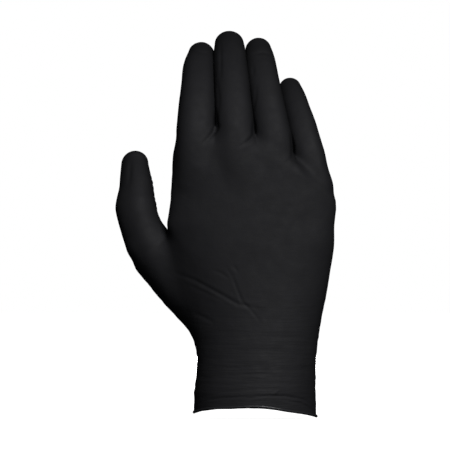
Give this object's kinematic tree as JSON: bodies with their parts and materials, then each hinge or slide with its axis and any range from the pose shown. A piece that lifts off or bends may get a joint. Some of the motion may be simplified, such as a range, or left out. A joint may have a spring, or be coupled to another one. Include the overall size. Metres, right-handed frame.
{
  "type": "disposable glove",
  "caption": "Thin dipped nitrile glove in its worn shape for a right hand, with a beaded cuff and fingers that bend at their creases.",
  "frame": {"origin": "on the lower face of the rolled bead, at the middle of the back of the cuff rim", "axes": "+Z from the cuff rim to the fingertips, +Y from the back of the hand to the palm, +X from the thumb side to the little finger side"},
  "size_m": [0.1204, 0.0758, 0.2131],
  "materials": {
    "film": "satin",
    "bead": "satin"
  },
  "bodies": {
    "cuff": {"cuff_bead": "bead", "cuff_sleeve": "film"},
    "hand": {"hand_film": "film"},
    "thumb_root": {"thumb_root": "film"},
    "thumb_lower": {"thumb_lower": "film"},
    "thumb_tip": {"thumb_tip": "film"},
    "index_root": {"index_root": "film"},
    "index_lower": {"index_lower": "film"},
    "index_upper": {"index_upper": "film"},
    "index_tip": {"index_tip": "film"},
    "middle_lower": {"middle_lower": "film"},
    "middle_upper": {"middle_upper": "film"},
    "middle_tip": {"middle_tip": "film"},
    "ring_root": {"ring_root": "film"},
    "ring_lower": {"ring_lower": "film"},
    "ring_upper": {"ring_upper": "film"},
    "ring_tip": {"ring_tip": "film"},
    "little_root": {"little_root": "film"},
    "little_lower": {"little_lower": "film"},
    "little_upper": {"little_upper": "film"},
    "little_tip": {"little_tip": "film"}
  },
  "joints": [
    {"name": "wrist_bend", "type": "hinge", "parent": "cuff", "child": "hand", "pos_m": [0, 0.0255, 0.037], "axis": [-1, 0, 0], "range_deg": [-45, 60], "stiffness_Nm_per_rad": 0.04},
    {"name": "thumb_swing", "type": "hinge", "parent": "hand", "child": "thumb_root", "pos_m": [-0.06391, 0.04019, 0.10807], "axis": [-0.4867, -0.8444, 0.2237], "range_deg": [0, 18]},
    {"name": "thumb_bend", "type": "hinge", "parent": "thumb_root", "child": "thumb_lower", "pos_m": [-0.06399, 0.04698, 0.11593], "axis": [-0.8484, 0.3959, -0.3514], "range_deg": [-10, 45]},
    {"name": "thumb_tip_bend", "type": "hinge", "parent": "thumb_lower", "child": "thumb_tip", "pos_m": [-0.06571, 0.05329, 0.12719], "axis": [-0.8484, 0.3959, -0.3514], "range_deg": [-15, 60]},
    {"name": "index_spread", "type": "hinge", "parent": "hand", "child": "index_root", "pos_m": [-0.03256, 0.02684, 0.1647], "axis": [0.0209, -0.9358, 0.3518], "range_deg": [0, 15]},
    {"name": "index_bend", "type": "hinge", "parent": "index_root", "child": "index_lower", "pos_m": [-0.03217, 0.03333, 0.17134], "axis": [-0.9982, 0, 0.0593], "range_deg": [-25, 45]},
    {"name": "index_mid_bend", "type": "hinge", "parent": "index_lower", "child": "index_upper", "pos_m": [-0.03152, 0.04086, 0.18227], "axis": [-0.9982, 0, 0.0593], "range_deg": [-25, 60]},
    {"name": "index_tip_bend", "type": "hinge", "parent": "index_upper", "child": "index_tip", "pos_m": [-0.03083, 0.05475, 0.19385], "axis": [-0.9982, 0, 0.0593], "range_deg": [-12.5, 30]},
    {"name": "middle_bend", "type": "hinge", "parent": "hand", "child": "middle_lower", "pos_m": [-0.01192, 0.0292, 0.16789], "axis": [-0.9972, 0, -0.075], "range_deg": [-25, 45]},
    {"name": "middle_mid_bend", "type": "hinge", "parent": "middle_lower", "child": "middle_upper", "pos_m": [-0.01302, 0.03815, 0.18248], "axis": [-0.9972, 0, -0.075], "range_deg": [-25, 60]},
    {"name": "middle_tip_bend", "type": "hinge", "parent": "middle_upper", "child": "middle_tip", "pos_m": [-0.01412, 0.05445, 0.19717], "axis": [-0.9972, 0, -0.075], "range_deg": [-12.5, 30]},
    {"name": "ring_spread", "type": "hinge", "parent": "hand", "child": "ring_root", "pos_m": [0.00898, 0.0258, 0.16068], "axis": [0.0462, 0.9523, -0.3017], "range_deg": [0, 12]},
    {"name": "ring_bend", "type": "hinge", "parent": "ring_root", "child": "ring_lower", "pos_m": [0.0079, 0.03171, 0.16774], "axis": [-0.9885, 0, -0.1513], "range_deg": [-25, 45]},
    {"name": "ring_mid_bend", "type": "hinge", "parent": "ring_lower", "child": "ring_upper", "pos_m": [0.00614, 0.03839, 0.17924], "axis": [-0.9885, 0, -0.1513], "range_deg": [-25, 60]},
    {"name": "ring_tip_bend", "type": "hinge", "parent": "ring_upper", "child": "ring_tip", "pos_m": [0.00388, 0.05334, 0.194], "axis": [-0.9885, 0, -0.1513], "range_deg": [-12.5, 30]},
    {"name": "little_spread", "type": "hinge", "parent": "hand", "child": "little_root", "pos_m": [0.02878, 0.02986, 0.14961], "axis": [0.0766, 0.9499, -0.3029], "range_deg": [0, 18]},
    {"name": "little_bend", "type": "hinge", "parent": "little_root", "child": "little_lower", "pos_m": [0.02724, 0.03513, 0.15571], "axis": [-0.9694, 0, -0.2453], "range_deg": [-25, 45]},
    {"name": "little_mid_bend", "type": "hinge", "parent": "little_lower", "child": "little_upper", "pos_m": [0.02493, 0.0408, 0.16483], "axis": [-0.9694, 0, -0.2453], "range_deg": [-25, 60]},
    {"name": "little_tip_bend", "type": "hinge", "parent": "little_upper", "child": "little_tip", "pos_m": [0.02252, 0.05065, 0.17434], "axis": [-0.9694, 0, -0.2453], "range_deg": [-12.5, 30]}
  ],
  "couplings": [
    {"joint": "index_tip_bend", "follows": "index_mid_bend", "ratio": 0.5},
    {"joint": "middle_tip_bend", "follows": "middle_mid_bend", "ratio": 0.5},
    {"joint": "ring_tip_bend", "follows": "ring_mid_bend", "ratio": 0.5},
    {"joint": "little_tip_bend", "follows": "little_mid_bend", "ratio": 0.5}
  ]
}
